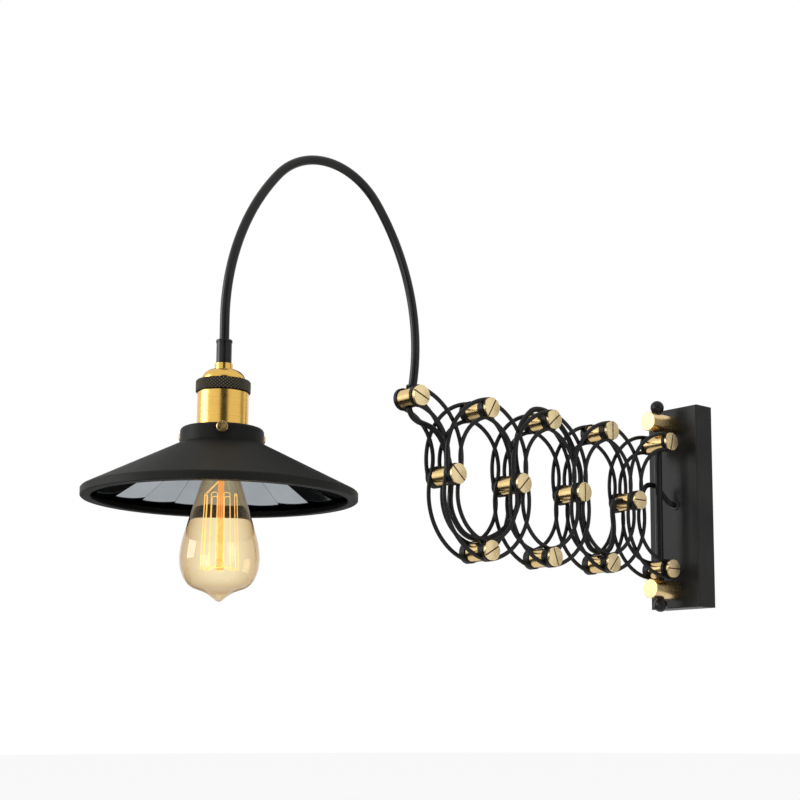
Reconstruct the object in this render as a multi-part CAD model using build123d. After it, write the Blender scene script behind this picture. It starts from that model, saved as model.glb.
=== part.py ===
from build123d import *
from math import atan2, cos, degrees, hypot, pi, radians, sin, tan
import os

# Accordion wall lamp, in millimetres: a lazy-tongs arm of S-shaped links on a wall plate,
# with a bent tube and a shaded lamp at its end. +X points out of the wall, +Y along it, +Z up.
# The origin is the middle of the wall bracket's back face. Pivots are named by row and column:
# t, m and b are the top, middle and bottom rows, and column 4 is at the wall, column 0 furthest.

# wall plate, a folded box that is open at the back
plate_depth = 26.0
plate_width = 66.0
plate_height = 216.0
plate_wall = 1.5
plate_edge_radius = 1.2

# wall bracket, a steel strip with a bent tab at each end
bracket_thickness = 1.5
bracket_width = 34.0
bracket_gap = 0.3
bracket_tab = 16.0
wall_slot_spacing = 120.0
wall_slot_width = 5.0
wall_slot_length = 10.0
supply_hole_d = 16.0
supply_hole_z = 34.0

# machine screws that hold the plate and the posts
screw_d = 3.8
screw_length = 11.5
screw_head_d = 7.6
screw_head_height = 2.4
screw_slot_width = 1.0
screw_slot_depth = 1.0
screw_head_edge = 0.8
screw_clearance = 0.05
screw_hole_clearance = 0.3
cover_screw_x = 10.0
cover_screw_y = 10.0

# posts, guide rod and finials
post_d = 20.0
post_length = 40.0
post_z = 89.1
post_edge = 0.5
rod_d = 8.0
rod_x = 50.0
running_clearance = 0.05
finial_d = 14.5
finial_z = 105.8
finial_seat_gap = 0.1
finial_bore_depth = 5.5

# lazy-tongs geometry: half of a link is the chord between two pivots
half_pitch = 42.0
half_height = 67.5
wall_half_pitch = 51.0
link_bow = 50.0
link_rod_width = 4.1
link_rod_thickness = 3.3
link_gauge = 16.4
eye_d = 20.5
layer_thickness = 3.4
layer_gap = 0.2
slider_rest_gap = 0.35

# barrels and pivot screws
barrel_d = 18.5
barrel_half_length = 9.0
barrel_edge = 0.4
pivot_d = 6.0
pivot_thread_d = 4.8
pivot_thread_length = 4.2
pivot_hole_spare = 0.3
pivot_head_d = 19.0
pivot_head_height = 3.3
pivot_head_edge = 0.4
pivot_slot_width = 1.6
pivot_slot_depth = 1.3
cap_head_d = 17.0
cap_head_height = 1.4
cap_head_edge = 0.6
washer_d = 17.0
slot_turn = {
    "t0": 22.0, "t1": -60.0, "t2": -40.0, "t3": 90.0, "t4": -76.0,
    "m1": 42.0, "m2": -45.0, "m3": 90.0, "m4": 0.0,
    "b1": -30.0, "b2": 69.0, "b3": -50.0, "b4": 0.0,
}

# bent tube, followed from the head barrel over the top and down to the lamp
tube_d = 8.0
tube_wall = 0.8
tube_lean = 10.4
tube_start = 11.0
tube_rise_radius = 196.0
tube_rise_end = 40.2
tube_crown_radius = 71.3
tube_crown_end = 139.2
tube_drop_radius = 208.5
tube_tail = 38.4
tube_seat = 8.0
ferrule_d = 11.6
ferrule_height = 1.6
sleeve_d = 12.5
sleeve_height = 18.0
sleeve_bead_d = 13.4
sleeve_bead_height = 2.2

# socket
neck_d = 14.6
neck_height = 5.5
dome_d = 35.6
dome_height = 7.3
dome_wall = 1.2
cap_skirt_reach = 4.0
ring_d = 44.8
ring_height = 9.8
ring_gap = 1.8
ring_edge = 0.8
knurl_count = 60
knurl_depth = 0.45
shell_d = 41.5
shell_wall = 1.0
shell_height = 29.3
shell_gap = 0.4
shell_bead = 0.5
shell_bead_height = 2.2
shell_skirt_d = 34.8
shell_skirt_length = 10.0
insert_clearance = 0.3
insert_floor = 10.0
insert_skirt = 19.0
contact_wall = 0.6
contact_slack = 0.4
contact_stack = 3.4
centre_contact_d = 8.0
contact_length = 17.5

# shade fitter, its screws and nut
fitter_d = 67.5
fitter_height = 13.0
fitter_wall = 1.2
fitter_edge_radius = 3.0
fitter_clearance = 0.25
fitter_screw_d = 4.0
fitter_screw_head_d = 9.0
fitter_screw_head_height = 4.4
fitter_screw_drop = 4.8
fitter_screw_angle = 57.0
fitter_screw_count = 3
fitter_screw_gap = 0.4
fitter_slot_width = 0.8
fitter_slot_depth = 1.2
fitter_slot_turn = 25.0
nut_d = 48.0
nut_height = 3.0

# shade and mirrors
shade_wall = 1.0
shade_neck_height = 10.0
shade_shoulder = 1.9
shade_d = 221.6
shade_drop = 38.4
shade_rim_height = 7.0
shade_lip = 8.0
shade_crease = 0.8
shade_lip_wall = 1.2
shade_rim_edge = 0.6
mirror_count = 20
mirror_inner_d = 76.0
mirror_edge_gap = 2.3
mirror_thickness = 1.5
mirror_gap = 0.5
mirror_bed = 0.4

# bulb
bulb_base_d = 26.0
bulb_base_height = 20.0
bulb_base_wall = 0.5
bulb_base_edge = 1.0
bulb_tip_rim = 1.4
bulb_tip_height = 4.6
bulb_tip_d = 9.0
bulb_contact_gap = 0.5
bulb_neck_d = 24.6
bulb_d = 64.0
bulb_length = 142.0
bulb_nipple = 1.8
bulb_nipple_r = 1.5
bulb_nipple_foot = 2.5
bulb_neck_flare = 1.5
bulb_neck_blend = 8.0
bulb_seat = 10.0
bulb_glass = 0.8
bulb_shoulder_radius = 70.0
bulb_taper = 16.5
stem_d = 5.0
stem_flare_d = 20.0
stem_flare_length = 14.0
stem_seat = 6.0
stem_button = 1.2
cage_count = 16
cage_top_d = 26.0
cage_foot_d = 31.0
cage_height = 61.0
cage_top_drop = 30.4
wire_d = 0.5
wire_bend = 1.6
wire_gap = 0.2

# cord and its bush
cord_d = 5.5
cord_slot = 0.5
cord_lift = 0.4
bush_y = 2.7
bush_z = 2.0
bush_d = 8.0
bush_flange_d = 10.4
bush_flange = 1.6
block_depth = 12.0
block_width = 28.0
block_height = 20.0
block_edge = 1.5
clamp_count = 3
clamp_spacing = 8.75
clamp_hole_d = 4.5
clamp_depth = 6.7

# places that follow from the sizes above
bottom_z = -post_z + post_d / 2 + slider_rest_gap + eye_d / 2
middle_z = bottom_z + half_height
top_z = middle_z + half_height
inner_layer = barrel_half_length + layer_gap
inner_layer_end = inner_layer + layer_thickness
outer_layer = inner_layer_end + layer_gap
outer_layer_end = outer_layer + layer_thickness
head_seat = outer_layer_end + layer_gap
chord_angle = degrees(atan2(half_height, half_pitch))
middle_tangent = chord_angle + link_bow


def column_x(column):
    """X of the top and bottom pivots of a column."""
    if column == 4:
        return rod_x
    return rod_x + wall_half_pitch + half_pitch * (7 - 2 * column)


def pivot_place(name):
    """X and Z of a pivot, from its row letter and column number."""
    row = name[0]
    column = int(name[1])
    if row == "t":
        return column_x(column), top_z
    if row == "b":
        return column_x(column), bottom_z
    return column_x(column - 1) - half_pitch, middle_z


# ---------------------------------------------------------------- shared shapes

def bar_x(x_start, x_end, y, z, diameter):
    """A round bar along X."""
    return Pos((x_start + x_end) / 2, y, z) * Rot(0, 90, 0) * Cylinder(diameter / 2, abs(x_end - x_start))


def bar_y(x, y_start, y_end, z, diameter):
    """A round bar along Y."""
    return Pos(x, (y_start + y_end) / 2, z) * Rot(90, 0, 0) * Cylinder(diameter / 2, abs(y_end - y_start))


def bar_z(x, y, z_start, z_end, diameter):
    """A round bar along Z."""
    return Pos(x, y, (z_start + z_end) / 2) * Cylinder(diameter / 2, abs(z_end - z_start))


def block(x_range, y_range, z_range):
    """A box between three pairs of coordinates."""
    size = [high - low for low, high in (x_range, y_range, z_range)]
    centre = [(high + low) / 2 for low, high in (x_range, y_range, z_range)]
    return Pos(*centre) * Box(*size)


def turned(outline):
    """A piece turned on the Z axis; the outline is a list of (radius, height) points."""
    edge = Polyline([(radius, 0, height) for radius, height in outline], close=True)
    return revolve(make_face(edge), Axis.Z)


def group(pieces):
    """Separate solids that share one node."""
    return Compound(list(pieces))


def save(shape, name):
    export_step(shape, "parts/" + name + ".step")


# ---------------------------------------------------------------- wall plate and bracket

def wall_plate():
    """Folded box with rounded front edges and holes for the posts' screws, the cord and its own screws."""
    y_range = (-plate_width / 2, plate_width / 2)
    outer = block((0, plate_depth), y_range, (-plate_height / 2, plate_height / 2))
    front_edges = outer.faces().sort_by(Axis.X)[-1].edges()
    outer = fillet(front_edges, plate_edge_radius)
    half_width = plate_width / 2 - plate_wall
    half_inside = plate_height / 2 - plate_wall
    inside = block((-1, plate_depth - plate_wall), (-half_width, half_width), (-half_inside, half_inside))
    plate = outer - inside
    hole_d = screw_d + 2 * screw_hole_clearance
    front = (plate_depth - 2 * plate_wall, plate_depth + plate_wall)
    for z in (-post_z, post_z):
        plate -= bar_x(front[0], front[1], 0, z, hole_d)
    plate -= bar_x(front[0], front[1], bush_y, bush_z, bush_d + 2 * running_clearance)
    for y in (-cover_screw_y, cover_screw_y):
        plate -= bar_z(cover_screw_x, y, half_inside - 1, plate_height / 2 + 1, hole_d)
    return plate


def wall_bracket():
    """Steel strip against the wall, with slots for the wall screws and tapped tabs for the cover."""
    reach = plate_height / 2 - plate_wall - bracket_gap
    half = bracket_width / 2
    bracket = block((0, bracket_thickness), (-half, half), (-reach, reach))
    bracket += block((0, bracket_tab), (-half, half), (reach - bracket_thickness, reach))
    bracket += block((0, bracket_tab), (-half, half), (-reach, bracket_thickness - reach))
    for z in (-wall_slot_spacing / 2, wall_slot_spacing / 2):
        straight = (wall_slot_length - wall_slot_width) / 2
        for end in (-straight, straight):
            bracket -= bar_x(-1, bracket_thickness + 1, 0, z + end, wall_slot_width)
        bracket -= block(
            (-1, bracket_thickness + 1),
            (-wall_slot_width / 2, wall_slot_width / 2),
            (z - straight, z + straight),
        )
    bracket -= bar_x(-1, bracket_thickness + 1, 0, supply_hole_z, supply_hole_d)
    tapped_d = screw_d + 2 * screw_clearance
    for y in (-cover_screw_y, cover_screw_y):
        bracket -= bar_z(cover_screw_x, y, reach - bracket_thickness - 1, reach + 1, tapped_d)
    return bracket


def machine_screw():
    """Slotted screw along Z with its head's underside at zero and its shank below."""
    screw = bar_z(0, 0, 0, screw_head_height, screw_head_d)
    screw = fillet(screw.faces().sort_by(Axis.Z)[-1].edges(), screw_head_edge)
    screw += bar_z(0, 0, -screw_length, 0, screw_d)
    slot_floor = screw_head_height - screw_slot_depth
    half = screw_slot_width / 2
    return screw - block((-screw_head_d, screw_head_d), (-half, half), (slot_floor, screw_head_height + 1))


def plate_screws():
    """Two screws down through the plate's top into the bracket, and two from inside into the posts."""
    screws = []
    for y in (-cover_screw_y, cover_screw_y):
        screws.append(Pos(cover_screw_x, y, plate_height / 2) * machine_screw())
    for z in (-post_z, post_z):
        screws.append(Pos(plate_depth - plate_wall, 0, z) * Rot(0, -90, 0) * machine_screw())
    return group(screws)


def posts():
    """Two turned brass posts, cross-drilled for the rod and tapped for their screws."""
    pair = []
    for z in (-post_z, post_z):
        post = bar_x(plate_depth, plate_depth + post_length, 0, z, post_d)
        post = chamfer(post.edges().filter_by(GeomType.CIRCLE).sort_by(Axis.X)[-1], post_edge)
        tapped = screw_length - plate_wall + pivot_hole_spare
        post -= bar_x(plate_depth - 1, plate_depth + tapped, 0, z, screw_d + 2 * screw_clearance)
        post -= bar_z(rod_x, 0, z - post_d, z + post_d, rod_d + 2 * running_clearance)
        pair.append(post)
    return group(pair)


def guide_rod():
    """Straight rod through both posts, ending inside the finials."""
    reach = finial_z - finial_d / 2 + finial_bore_depth
    return bar_z(rod_x, 0, -reach, reach, rod_d)


def rod_finials():
    """Two balls with a flat seat, bored to fit over the rod's ends."""
    pair = []
    seat = post_z + post_d / 2 + finial_seat_gap
    bore_end = finial_z - finial_d / 2 + finial_bore_depth + running_clearance
    for side in (-1, 1):
        ball = Pos(rod_x, 0, side * finial_z) * Sphere(finial_d / 2)
        ball -= bar_z(rod_x, 0, side * (seat - finial_d), side * seat, finial_d)
        ball -= bar_z(rod_x, 0, side * (seat - 1), side * bore_end, rod_d + 2 * running_clearance)
        pair.append(ball)
    return group(pair)


def cord_grommet():
    """Rubber bush that snaps in the plate's front: a neck between two flanges."""
    inside = plate_depth - plate_wall
    bush = bar_x(inside, plate_depth, bush_y, bush_z, bush_d)
    bush += bar_x(plate_depth, plate_depth + bush_flange, bush_y, bush_z, bush_flange_d)
    bush += bar_x(inside - bush_flange, inside, bush_y, bush_z, bush_flange_d)
    outer_rim = bush.edges().filter_by(GeomType.CIRCLE).sort_by(Axis.X)[-1]
    bush = fillet(outer_rim, bush_flange / 2)
    return bush - bar_x(0, plate_depth + bush_flange + 1, bush_y, bush_z, cord_d + 2 * running_clearance)


def terminal_block():
    """Moulded block on the bracket behind the bush, with three clamp screw wells in its side."""
    front = bracket_thickness + block_depth
    y_range = (bush_y - block_width / 2, bush_y + block_width / 2)
    z_range = (bush_z - block_height / 2, bush_z + block_height / 2)
    body = block((bracket_thickness, front), y_range, z_range)
    body = fillet(body.edges().filter_by(Axis.X), block_edge)
    top = z_range[1]
    for step in range(clamp_count):
        y = bush_y + (step - (clamp_count - 1) / 2) * clamp_spacing
        body -= bar_z(bracket_thickness + block_depth / 2, y, top - clamp_depth, top + 1, clamp_hole_d)
    return body


# ---------------------------------------------------------------- links

def half_arc(start, end, side):
    """Centre, radius and bulge direction of the arc from one pivot to the next, in (x, z)."""
    run_x = end[0] - start[0]
    run_z = end[1] - start[1]
    chord = hypot(run_x, run_z)
    bow = radians(middle_tangent) - atan2(abs(run_z), run_x)
    radius = chord / 2 / sin(bow)
    bulge = (-side * run_z / chord, side * run_x / chord)
    middle = ((start[0] + end[0]) / 2, (start[1] + end[1]) / 2)
    centre = (middle[0] - bulge[0] * radius * cos(bow), middle[1] - bulge[1] * radius * cos(bow))
    return centre, radius, bulge


def offset_arc(start, end, side, offset, y):
    """The arc beside a half link's centre line; a positive offset is on the bulging side."""
    centre, radius, bulge = half_arc(start, end, side)
    share = (radius + offset) / radius
    points = []
    for x, z in (start, (centre[0] + bulge[0] * radius, centre[1] + bulge[1] * radius), end):
        points.append((centre[0] + (x - centre[0]) * share, y, centre[1] + (z - centre[1]) * share))
    return ThreePointArc(*points)


def link_side(places, first_side, y_start):
    """One layer of a link: two slightly flattened rods between eyes, all in one flat layer."""
    y = y_start + layer_thickness / 2
    side = None
    for gauge in (-link_gauge / 2, link_gauge / 2):
        arcs = [offset_arc(places[0], places[1], first_side, gauge, y)]
        if len(places) == 3:
            arcs.append(offset_arc(places[1], places[2], -first_side, -gauge, y))
        path = Wire(arcs)
        start = Plane(path @ 0, x_dir=(0, 1, 0), z_dir=path % 0)
        rod = sweep(start * SlotOverall(link_rod_width, link_rod_thickness, rotation=90), path)
        side = rod if side is None else side + rod
    for x, z in places:
        side += bar_y(x, y_start, y_start + layer_thickness, z, eye_d)
    for x, z in places:
        side -= bar_y(x, y_start - 1, y_start + layer_thickness + 1, z, pivot_d + 2 * running_clearance)
    return side


def link(names, first_side, y_start):
    """A link is doubled: the same shape in front of the barrels and behind them."""
    places = [pivot_place(name) for name in names]
    front = link_side(places, first_side, y_start)
    return group([front, mirror(front, about=Plane.XZ)])


# ---------------------------------------------------------------- barrels and pivot screws

def barrel(name, half_length):
    """Brass spacer along Y, tapped at both ends."""
    x, z = pivot_place(name)
    body = bar_y(x, -half_length, half_length, z, barrel_d)
    body = chamfer(body.edges().filter_by(GeomType.CIRCLE), barrel_edge)
    depth = pivot_thread_length + pivot_hole_spare
    for end in (-1, 1):
        body -= bar_y(x, end * (half_length - depth), end * (half_length + 1), z, pivot_thread_d + 0.2)
    return body


def pivot_screw(name, seat, barrel_end):
    """Slotted shoulder screw: the shoulder carries the links, the thread goes in the barrel."""
    x, z = pivot_place(name)
    head = bar_y(x, seat, seat + pivot_head_height, z, pivot_head_d)
    head = chamfer(head.edges().filter_by(GeomType.CIRCLE), pivot_head_edge)
    reach = pivot_head_d
    half = pivot_slot_width / 2
    slot = block((-reach, reach), (-pivot_slot_depth, 1), (-half, half))
    head -= Pos(x, seat + pivot_head_height, z) * Rot(0, -slot_turn[name], 0) * slot
    head += bar_y(x, barrel_end, seat, z, pivot_d)
    return head + bar_y(x, barrel_end - pivot_thread_length, barrel_end, z, pivot_thread_d)


def cap_screw(name, seat, barrel_end):
    """Plain low-headed shoulder screw at the rear end of a barrel."""
    x, z = pivot_place(name)
    head = bar_y(x, -seat - cap_head_height, -seat, z, cap_head_d)
    head = chamfer(head.edges().filter_by(GeomType.CIRCLE).sort_by(Axis.Y)[0], cap_head_edge)
    head += bar_y(x, -seat, -barrel_end, z, pivot_d)
    return head + bar_y(x, -barrel_end, pivot_thread_length - barrel_end, z, pivot_thread_d)


def save_arm_column(column, names):
    """The outer-layer link of a column with the barrels and screws that ride on it."""
    barrels = []
    for name in names:
        one = barrel(name, barrel_half_length)
        if name == "m4":
            x, z = pivot_place(name)
            one -= bar_x(x - barrel_d, x + barrel_d, 0, z, cord_d + 2 * cord_slot)
        barrels.append(one)
    save(group(barrels), "barrels_a" + str(column))
    slotted = [pivot_screw(name, head_seat, barrel_half_length) for name in names]
    save(group(slotted), "pivot_screws_a" + str(column))
    caps = [cap_screw(name, head_seat, barrel_half_length) for name in names]
    save(group(caps), "cap_screws_a" + str(column))


def slider(name, half_length):
    """Barrel bored across for the guide rod."""
    x, z = pivot_place(name)
    return barrel(name, half_length) - bar_z(x, 0, z - barrel_d, z + barrel_d, rod_d + 2 * running_clearance)


def lower_cap_screw():
    """Rear screw of the lower slider, with the two washers that fill the empty outer layer."""
    x, z = pivot_place("b4")
    pieces = [cap_screw("b4", head_seat, barrel_half_length)]
    bore_d = pivot_d + 2 * running_clearance
    for side in (-1, 1):
        washer = bar_y(x, side * outer_layer, side * outer_layer_end, z, washer_d)
        washer -= bar_y(x, side * (outer_layer - 1), side * (outer_layer_end + 1), z, bore_d)
        pieces.append(washer)
    return group(pieces)


# ---------------------------------------------------------------- bent tube

def turn_step(point, start, end, radius):
    """Middle and end of a bend in the XZ plane; directions are degrees from +Z towards +X."""
    places = []
    for angle in ((start + end) / 2, end):
        x = point[0] + radius * (cos(radians(start)) - cos(radians(angle)))
        z = point[1] + radius * (sin(radians(angle)) - sin(radians(start)))
        places.append((x, z))
    return places


head_x, head_z = pivot_place("t0")
lean = (-sin(radians(tube_lean)), cos(radians(tube_lean)))
rise_start = (head_x + tube_start * lean[0], head_z + tube_start * lean[1])
rise_middle, crown_start = turn_step(rise_start, -tube_lean, tube_rise_end, tube_rise_radius)
crown_middle, drop_start = turn_step(crown_start, tube_rise_end, tube_crown_end, tube_crown_radius)
drop_middle, drop_end = turn_step(drop_start, tube_crown_end, 180.0, tube_drop_radius)
lamp_x = drop_end[0]
neck_top = drop_end[1] - tube_tail


def tube_path(start, foot_z):
    """Centre line of the tube from a start point to a height on the lamp's axis."""
    def place(point):
        return (point[0], 0, point[1])

    return Wire([
        Line(place(start), place(rise_start)),
        ThreePointArc(place(rise_start), place(rise_middle), place(crown_start)),
        ThreePointArc(place(crown_start), place(crown_middle), place(drop_start)),
        ThreePointArc(place(drop_start), place(drop_middle), place(drop_end)),
        Line(place(drop_end), (lamp_x, 0, foot_z)),
    ])


def swept(path, face):
    """A flat face in XY carried along a path."""
    return sweep(Plane(path @ 0, z_dir=path % 0) * face, path)


def gooseneck():
    """Bent steel tube from the head barrel to the socket's neck."""
    section = Circle(tube_d / 2) - Circle(tube_d / 2 - tube_wall)
    return swept(tube_path((head_x, head_z), neck_top - tube_seat), section)


def along_lean(distance):
    """A point on the tube's axis near the head barrel, measured from the pivot."""
    return (head_x + distance * lean[0], 0, head_z + distance * lean[1])


def lean_bar(start, end, diameter):
    """A round bar on the tube's axis near the head barrel."""
    plane = Plane(along_lean(start), z_dir=(lean[0], 0, lean[1]))
    return extrude(plane * Circle(diameter / 2), end - start)


def head_barrel():
    """Barrel at the arm's end, drilled to hold the tube above and to let the cord out below."""
    body = barrel("t0", barrel_half_length)
    body -= lean_bar(0, barrel_d, tube_d + 2 * running_clearance)
    return body - lean_bar(-barrel_d, 0.5, cord_d + 2 * cord_slot)


def tube_ferrules():
    """A flange where the tube enters the head barrel and a beaded sleeve above the socket."""
    seat = barrel_d / 2 + running_clearance
    bore = tube_d + 2 * running_clearance
    flange = lean_bar(seat, seat + ferrule_height, ferrule_d)
    flange -= lean_bar(seat - 1, seat + ferrule_height + 1, bore)
    top = neck_top + sleeve_height
    sleeve = bar_z(lamp_x, 0, neck_top, top, sleeve_d)
    sleeve += bar_z(lamp_x, 0, top, top + sleeve_bead_height, sleeve_bead_d)
    sleeve = fillet(sleeve.edges().filter_by(GeomType.CIRCLE).sort_by(Axis.Z)[-1], sleeve_bead_height / 3)
    sleeve -= bar_z(lamp_x, 0, neck_top - 1, top + sleeve_bead_height + 1, bore)
    return group([flange, sleeve])


# ---------------------------------------------------------------- socket, all turned on the lamp's axis

dome_top = neck_top - neck_height
dome_foot = dome_top - dome_height
ring_top = dome_foot - ring_gap
ring_foot = ring_top - ring_height
shell_top = ring_foot - shell_gap
shell_foot = shell_top - shell_height
fitter_top = shell_foot
fitter_foot = fitter_top - fitter_height
shade_top = fitter_foot + shade_neck_height
skirt_r = shell_skirt_d / 2
base_r = bulb_base_d / 2
bulb_foot = fitter_top + shell_wall + insert_clearance - bulb_length
bulb_tip_z = bulb_foot + bulb_length
base_top = bulb_tip_z - bulb_tip_height
base_foot = base_top - bulb_base_height


def on_lamp_axis(shape):
    return Pos(lamp_x, 0, 0) * shape


def socket_cap():
    """Brass neck and dome, with a skirt that goes down inside the knurled ring."""
    neck_r = neck_d / 2
    dome_r = dome_d / 2
    bore_r = tube_d / 2 + running_clearance
    skirt_foot = shell_top - cap_skirt_reach
    bend = 0.7071
    outer = Polyline(
        [(bore_r, 0, neck_top), (neck_r, 0, neck_top), (neck_r, 0, dome_top)]
    )
    outer += ThreePointArc(
        (neck_r, 0, dome_top),
        (neck_r + (dome_r - neck_r) * bend, 0, dome_foot + dome_height * bend),
        (dome_r, 0, dome_foot),
    )
    inner_r = dome_r - dome_wall
    outer += Polyline(
        [(dome_r, 0, dome_foot), (dome_r, 0, skirt_foot), (inner_r, 0, skirt_foot), (inner_r, 0, dome_foot)]
    )
    outer += ThreePointArc(
        (inner_r, 0, dome_foot),
        (bore_r + (inner_r - bore_r) * bend, 0, dome_foot + (dome_height - dome_wall) * bend),
        (bore_r, 0, dome_top - dome_wall),
    )
    outer += Line((bore_r, 0, dome_top - dome_wall), (bore_r, 0, neck_top))
    return on_lamp_axis(revolve(make_face(outer), Axis.Z))


def knurled_ring():
    """Ring nut round the cap's skirt, with straight grooves for the fingers."""
    outer_r = ring_d / 2
    inner_r = dome_d / 2 + shell_gap
    edge = ring_edge
    ring = turned([
        (inner_r, ring_foot), (outer_r - edge, ring_foot), (outer_r, ring_foot + edge),
        (outer_r, ring_top - edge), (outer_r - edge, ring_top), (inner_r, ring_top),
    ])
    groove = bar_z(outer_r + knurl_depth, 0, ring_foot + 2 * edge, ring_top - 2 * edge, 4 * knurl_depth)
    grooves = [Rot(0, 0, 360 * step / knurl_count) * groove for step in range(knurl_count)]
    return on_lamp_axis(ring - grooves)


def socket_shell():
    """Brass can with a bead at its foot and a narrower threaded skirt below."""
    outer_r = shell_d / 2
    inner_r = outer_r - shell_wall
    hole_r = dome_d / 2 + shell_gap
    skirt_foot = fitter_top - shell_skirt_length
    return on_lamp_axis(turned([
        (hole_r, shell_top), (outer_r, shell_top), (outer_r, shell_foot + shell_bead_height),
        (outer_r + shell_bead, shell_foot + shell_bead_height), (outer_r + shell_bead, shell_foot),
        (skirt_r, shell_foot), (skirt_r, skirt_foot), (skirt_r - shell_wall, skirt_foot),
        (skirt_r - shell_wall, shell_foot + shell_wall), (inner_r, shell_foot + shell_wall),
        (inner_r, shell_top - shell_wall), (hole_r, shell_top - shell_wall),
    ]))


def socket_insert():
    """Moulded core: a flange in the can, a floor for the contacts and a skirt round the bulb's base."""
    sleeve_r = skirt_r - shell_wall - insert_clearance
    flange_r = shell_d / 2 - shell_wall - insert_clearance
    bore_r = base_r + contact_slack + contact_wall + insert_clearance
    flange_z = shell_foot + shell_wall
    floor_z = bulb_tip_z + contact_stack
    return on_lamp_axis(turned([
        (bore_r, flange_z - insert_skirt), (sleeve_r, flange_z - insert_skirt), (sleeve_r, flange_z),
        (flange_r, flange_z), (flange_r, floor_z + insert_floor), (0, floor_z + insert_floor),
        (0, floor_z), (bore_r, floor_z),
    ]))


def holder_contacts():
    """Screw contact that grips the bulb's base, and the centre contact above its tip."""
    inner_r = base_r + contact_slack
    outer_r = inner_r + contact_wall
    top = bulb_tip_z + contact_stack
    lug_r = base_r - 3
    screw_contact = turned([
        (inner_r, top - contact_length), (outer_r, top - contact_length), (outer_r, top),
        (lug_r, top), (lug_r, top - contact_wall), (inner_r, top - contact_wall),
    ])
    low = bulb_tip_z + bulb_contact_gap
    disc_r = centre_contact_d / 2
    centre_contact = turned([(0, low), (disc_r, low), (disc_r, low + contact_wall), (1.5, top), (0, top)])
    return group([on_lamp_axis(screw_contact), on_lamp_axis(centre_contact)])


# ---------------------------------------------------------------- shade fitter, shade and mirrors

def shade_fitter():
    """Black cap under the socket, with a rounded top edge and three tapped holes in its side."""
    outer_r = fitter_d / 2
    cup = bar_z(0, 0, fitter_foot, fitter_top, fitter_d)
    cup = fillet(cup.faces().sort_by(Axis.Z)[-1].edges(), fitter_edge_radius)
    hollow = bar_z(0, 0, fitter_foot - 1, fitter_top - fitter_wall, fitter_d - 2 * fitter_wall)
    hollow = fillet(hollow.faces().sort_by(Axis.Z)[-1].edges(), fitter_edge_radius - fitter_wall)
    cup -= hollow
    cup -= bar_z(0, 0, fitter_foot, fitter_top + 1, shell_skirt_d + 2 * insert_clearance)
    for step in range(fitter_screw_count):
        turn = Rot(0, 0, fitter_screw_angle + 360 * step / fitter_screw_count)
        cup -= turn * bar_x(outer_r - 6, outer_r + 6, 0, fitter_top - fitter_screw_drop, fitter_screw_d + 0.1)
    return on_lamp_axis(cup)


def fitter_screws():
    """Slotted brass screws whose tips press on the shade's neck."""
    outer_r = fitter_d / 2
    tip_r = outer_r - fitter_wall - fitter_clearance + running_clearance
    head_r = outer_r + fitter_screw_gap
    z = fitter_top - fitter_screw_drop
    screw = bar_x(head_r, head_r + fitter_screw_head_height, 0, z, fitter_screw_head_d)
    screw = chamfer(screw.edges().filter_by(GeomType.CIRCLE).sort_by(Axis.X)[-1], barrel_edge)
    top = head_r + fitter_screw_head_height
    half = fitter_slot_width / 2
    slot = block((-fitter_slot_depth, 1), (-half, half), (-fitter_screw_head_d, fitter_screw_head_d))
    screw -= Pos(top, 0, z) * Rot(fitter_slot_turn, 0, 0) * slot
    screw += bar_x(tip_r, head_r, 0, z, fitter_screw_d)
    turns = [fitter_screw_angle + 360 * step / fitter_screw_count for step in range(fitter_screw_count)]
    return group([on_lamp_axis(Rot(0, 0, turn) * screw) for turn in turns])


def fitter_nut():
    """Ring nut that holds the fitter up against the socket."""
    top = fitter_top - fitter_wall
    nut = bar_z(0, 0, top - nut_height, top, nut_d)
    return on_lamp_axis(nut - bar_z(0, 0, top - nut_height - 1, top + 1, shell_skirt_d + 0.1))


shade_neck_r = fitter_d / 2 - fitter_wall - fitter_clearance
shoulder_z = fitter_foot - running_clearance
shade_r = shade_d / 2
crease_r = shade_r - shade_crease
shoulder_r = shade_neck_r + shade_shoulder
crease_z = shoulder_z - shade_drop
cone_slope = shade_drop / (crease_r - shoulder_r)
wall_drop = shade_wall * hypot(1, cone_slope)


def cone_z(radius):
    """Height of the shade's outer cone at a radius."""
    return shoulder_z - (radius - shoulder_r) * cone_slope


def shade():
    """Spun steel cone with an upright neck, a turned-down rim and a lip rolled inwards."""
    rim_foot = crease_z - shade_rim_height
    inner_r = shade_r - shade_wall
    neck_inner = shade_neck_r - shade_wall
    return on_lamp_axis(turned([
        (shade_neck_r, shade_top), (shade_neck_r, shoulder_z), (shoulder_r, shoulder_z),
        (crease_r, crease_z), (shade_r, crease_z - 1), (shade_r, rim_foot + shade_rim_edge),
        (shade_r - shade_rim_edge, rim_foot), (shade_r - shade_lip, rim_foot),
        (shade_r - shade_lip, rim_foot + shade_lip_wall), (inner_r, rim_foot + shade_lip_wall),
        (inner_r, cone_z(inner_r) - wall_drop), (neck_inner, cone_z(neck_inner) - wall_drop),
        (neck_inner, shade_top),
    ]))


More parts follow.
